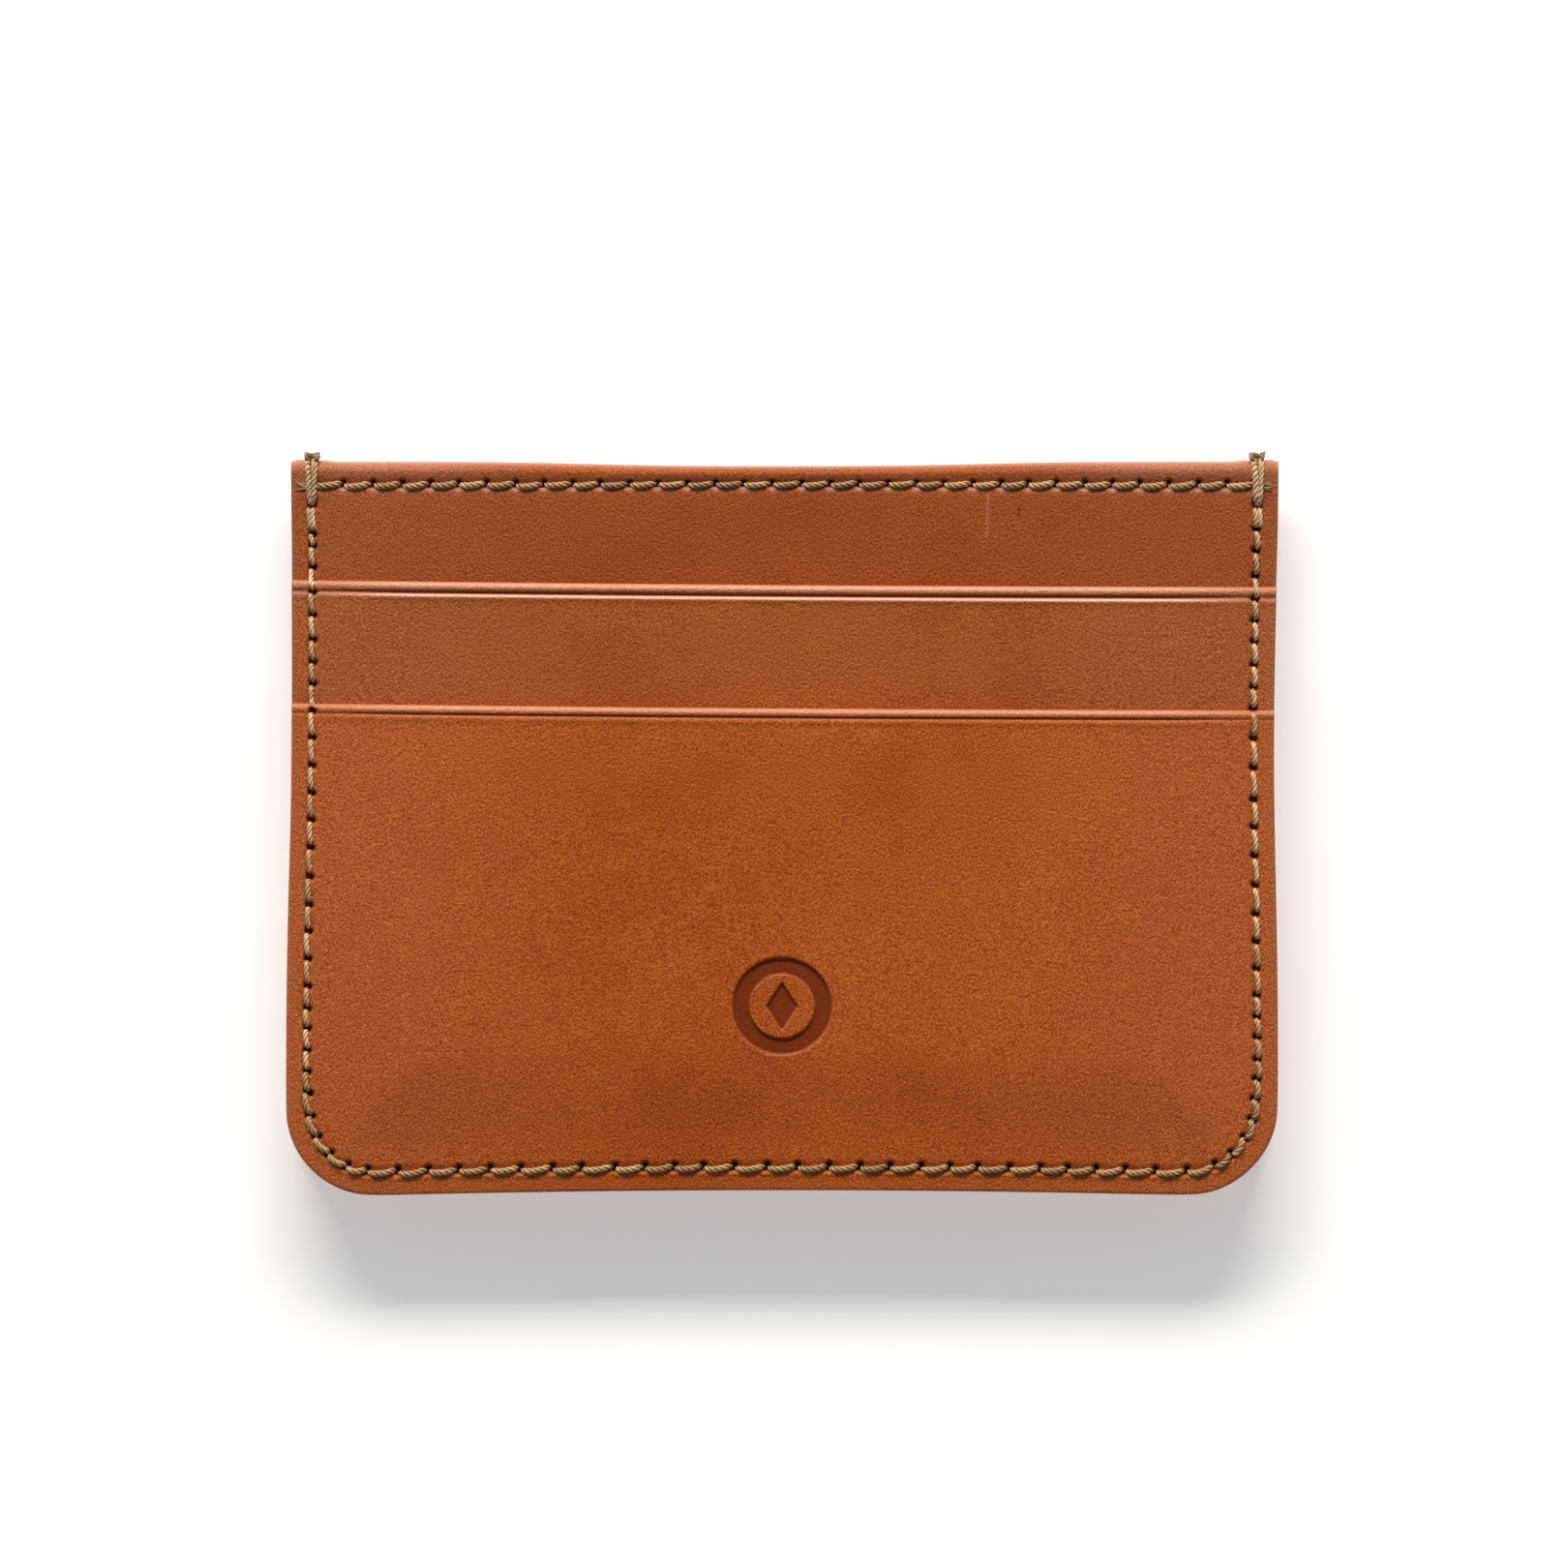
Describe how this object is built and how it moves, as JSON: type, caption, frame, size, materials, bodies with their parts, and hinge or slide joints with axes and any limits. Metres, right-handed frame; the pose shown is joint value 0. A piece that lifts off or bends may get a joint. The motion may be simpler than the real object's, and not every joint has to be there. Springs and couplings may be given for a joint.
{
  "type": "card holder",
  "caption": "Flat sewn leather card holder: stacked open-topped card pockets on each face and a lined centre pocket with a turned, stitched top hem.",
  "frame": {"origin": "centre of the footprint in X and Y, on the plane the lower back pocket rests on", "axes": "+X across the width, +Y up the face towards the pocket mouths, +Z out of the front face"},
  "size_m": [0.1, 0.0748, 0.0078],
  "materials": {
    "leather": "tan full-grain leather with a fine pebble, semi-matt, with creased and polished edges",
    "lining": "thin matt woven lining",
    "thread": "waxed three-ply twisted sewing thread, olive tan"
  },
  "bodies": {
    "root": {"front_lower_pocket": "leather", "front_upper_pocket": "leather", "front_inner_panel": "leather", "front_lining": "lining", "rear_lining": "lining", "rear_inner_panel": "leather", "rear_upper_pocket": "leather", "rear_lower_pocket": "leather", "front_hem_thread": "thread", "front_hem_bobbin_thread": "thread", "rear_hem_thread": "thread", "rear_hem_bobbin_thread": "thread", "perimeter_thread_front": "thread", "perimeter_thread_rear": "thread", "left_edge_tack": "thread", "right_edge_tack": "thread", "front_pocket_base_thread": "thread", "front_pocket_base_bobbin_thread": "thread", "rear_pocket_base_thread": "thread", "rear_pocket_base_bobbin_thread": "thread"}
  },
  "joints": []
}
